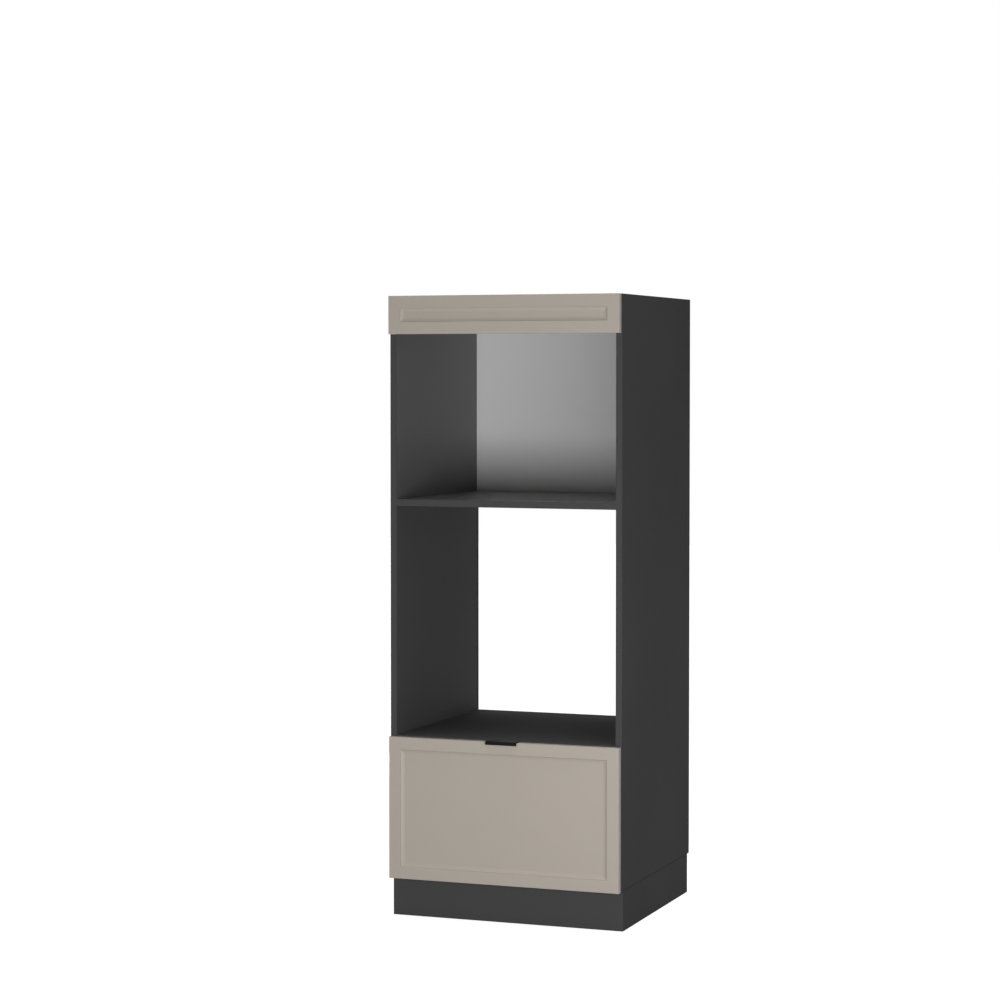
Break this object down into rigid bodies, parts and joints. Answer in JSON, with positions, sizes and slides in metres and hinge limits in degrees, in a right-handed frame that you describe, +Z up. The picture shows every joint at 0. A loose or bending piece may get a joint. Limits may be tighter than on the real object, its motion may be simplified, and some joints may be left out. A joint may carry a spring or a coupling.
{
  "type": "kitchen oven and microwave housing cabinet",
  "caption": "Half-height housing cabinet with an open microwave niche over an open-backed oven niche, a framed deep drawer with an edge pull, a fascia and a plinth.",
  "frame": {"origin": "on the floor, at the centre of the whole outline", "axes": "+X to the right seen from the front, +Y back to the wall, +Z up"},
  "size_m": [0.6, 0.588, 1.531],
  "materials": {
    "graphite_board": "fine-textured graphite melamine",
    "taupe_lacquer": "matt taupe lacquer on milled MDF",
    "grey_hardboard": "smooth light grey painted hardboard",
    "box_board": "satin light grey melamine",
    "beech": "raw fluted beech",
    "black_metal": "matt black powder coat",
    "zinc_steel": "bright zinc-plated sheet steel",
    "ball_steel": "polished bearing steel",
    "cast_zinc": "bead-blasted die-cast zinc",
    "black_plastic": "moulded black polypropylene",
    "graphite_plastic": "moulded graphite plastic",
    "clear_buffer": "soft translucent polymer"
  },
  "bodies": {
    "carcass": {"left_side": "graphite_board", "right_side": "graphite_board", "bottom_panel": "graphite_board", "oven_shelf": "graphite_board", "microwave_shelf": "graphite_board", "top_panel": "graphite_board", "front_rail": "graphite_board", "microwave_back": "grey_hardboard", "lower_back": "grey_hardboard", "back_screws": "zinc_steel", "dowels": "beech", "cam_housings": "cast_zinc", "cam_bolts": "zinc_steel", "cam_caps": "graphite_plastic", "fascia": "taupe_lacquer", "fascia_spacers": "black_plastic", "fascia_screws": "zinc_steel", "wall_brackets": "zinc_steel", "bracket_screws": "zinc_steel", "plinth_front": "graphite_board", "plinth_left": "graphite_board", "plinth_right": "graphite_board", "plinth_clips": "black_plastic", "clip_screws": "zinc_steel", "leg_sockets": "black_plastic", "leg_screws": "zinc_steel", "runner_outer_left": "zinc_steel", "runner_outer_right": "zinc_steel", "cabinet_runner_screws": "zinc_steel"},
    "drawer": {"box_side_left": "box_board", "box_side_right": "box_board", "box_front": "box_board", "box_back": "box_board", "box_bottom": "grey_hardboard", "box_screws": "zinc_steel", "drawer_front": "taupe_lacquer", "front_screws": "zinc_steel", "handle": "black_metal", "front_buffers": "clear_buffer", "runner_inner_left": "zinc_steel", "runner_inner_right": "zinc_steel", "drawer_runner_screws": "zinc_steel"},
    "middle_left": {"runner_middle_left": "zinc_steel"},
    "outer_cage_left": {"outer_cage_left": "zinc_steel", "outer_balls_left": "ball_steel"},
    "inner_cage_left": {"inner_cage_left": "zinc_steel", "inner_balls_left": "ball_steel"},
    "middle_right": {"runner_middle_right": "zinc_steel"},
    "outer_cage_right": {"outer_cage_right": "zinc_steel", "outer_balls_right": "ball_steel"},
    "inner_cage_right": {"inner_cage_right": "zinc_steel", "inner_balls_right": "ball_steel"},
    "pad_front_left": {"pad_front_left": "black_plastic"},
    "spindle_front_left": {"spindle_front_left": "zinc_steel"},
    "pad_front_right": {"pad_front_right": "black_plastic"},
    "spindle_front_right": {"spindle_front_right": "zinc_steel"},
    "pad_rear_left": {"pad_rear_left": "black_plastic"},
    "spindle_rear_left": {"spindle_rear_left": "zinc_steel"},
    "pad_rear_right": {"pad_rear_right": "black_plastic"},
    "spindle_rear_right": {"spindle_rear_right": "zinc_steel"}
  },
  "joints": [
    {"name": "drawer_slide", "type": "slide", "parent": "carcass", "child": "drawer", "axis": [0, -1, 0], "range_m": [0, 0.5]},
    {"name": "middle_left_slide", "type": "slide", "parent": "carcass", "child": "middle_left", "axis": [0, -1, 0], "range_m": [0, 0.25]},
    {"name": "outer_cage_left_slide", "type": "slide", "parent": "carcass", "child": "outer_cage_left", "axis": [0, -1, 0], "range_m": [0, 0.125]},
    {"name": "inner_cage_left_slide", "type": "slide", "parent": "carcass", "child": "inner_cage_left", "axis": [0, -1, 0], "range_m": [0, 0.375]},
    {"name": "middle_right_slide", "type": "slide", "parent": "carcass", "child": "middle_right", "axis": [0, -1, 0], "range_m": [0, 0.25]},
    {"name": "outer_cage_right_slide", "type": "slide", "parent": "carcass", "child": "outer_cage_right", "axis": [0, -1, 0], "range_m": [0, 0.125]},
    {"name": "inner_cage_right_slide", "type": "slide", "parent": "carcass", "child": "inner_cage_right", "axis": [0, -1, 0], "range_m": [0, 0.375]},
    {"name": "pad_front_left_slide", "type": "slide", "parent": "carcass", "child": "pad_front_left", "axis": [0, 0, -1], "range_m": [0, 0.02]},
    {"name": "spindle_front_left_turn", "type": "hinge", "parent": "pad_front_left", "child": "spindle_front_left", "pos_m": [-0.222, -0.192, 0.01], "axis": [0, 0, -1], "range_deg": [0, 2410]},
    {"name": "pad_front_right_slide", "type": "slide", "parent": "carcass", "child": "pad_front_right", "axis": [0, 0, -1], "range_m": [0, 0.02]},
    {"name": "spindle_front_right_turn", "type": "hinge", "parent": "pad_front_right", "child": "spindle_front_right", "pos_m": [0.222, -0.192, 0.01], "axis": [0, 0, -1], "range_deg": [0, 2410]},
    {"name": "pad_rear_left_slide", "type": "slide", "parent": "carcass", "child": "pad_rear_left", "axis": [0, 0, -1], "range_m": [0, 0.02]},
    {"name": "spindle_rear_left_turn", "type": "hinge", "parent": "pad_rear_left", "child": "spindle_rear_left", "pos_m": [-0.222, 0.224, 0.01], "axis": [0, 0, -1], "range_deg": [0, 2410]},
    {"name": "pad_rear_right_slide", "type": "slide", "parent": "carcass", "child": "pad_rear_right", "axis": [0, 0, -1], "range_m": [0, 0.02]},
    {"name": "spindle_rear_right_turn", "type": "hinge", "parent": "pad_rear_right", "child": "spindle_rear_right", "pos_m": [0.222, 0.224, 0.01], "axis": [0, 0, -1], "range_deg": [0, 2410]}
  ],
  "couplings": [
    {"joint": "middle_left_slide", "follows": "drawer_slide", "ratio": 0.5},
    {"joint": "outer_cage_left_slide", "follows": "drawer_slide", "ratio": 0.25},
    {"joint": "inner_cage_left_slide", "follows": "drawer_slide", "ratio": 0.75},
    {"joint": "middle_right_slide", "follows": "drawer_slide", "ratio": 0.5},
    {"joint": "outer_cage_right_slide", "follows": "drawer_slide", "ratio": 0.25},
    {"joint": "inner_cage_right_slide", "follows": "drawer_slide", "ratio": 0.75},
    {"joint": "spindle_front_left_turn", "follows": "pad_front_left_slide", "rad_per_m": 2094.4},
    {"joint": "spindle_front_right_turn", "follows": "pad_front_right_slide", "rad_per_m": 2094.4},
    {"joint": "spindle_rear_left_turn", "follows": "pad_rear_left_slide", "rad_per_m": 2094.4},
    {"joint": "spindle_rear_right_turn", "follows": "pad_rear_right_slide", "rad_per_m": 2094.4}
  ]
}
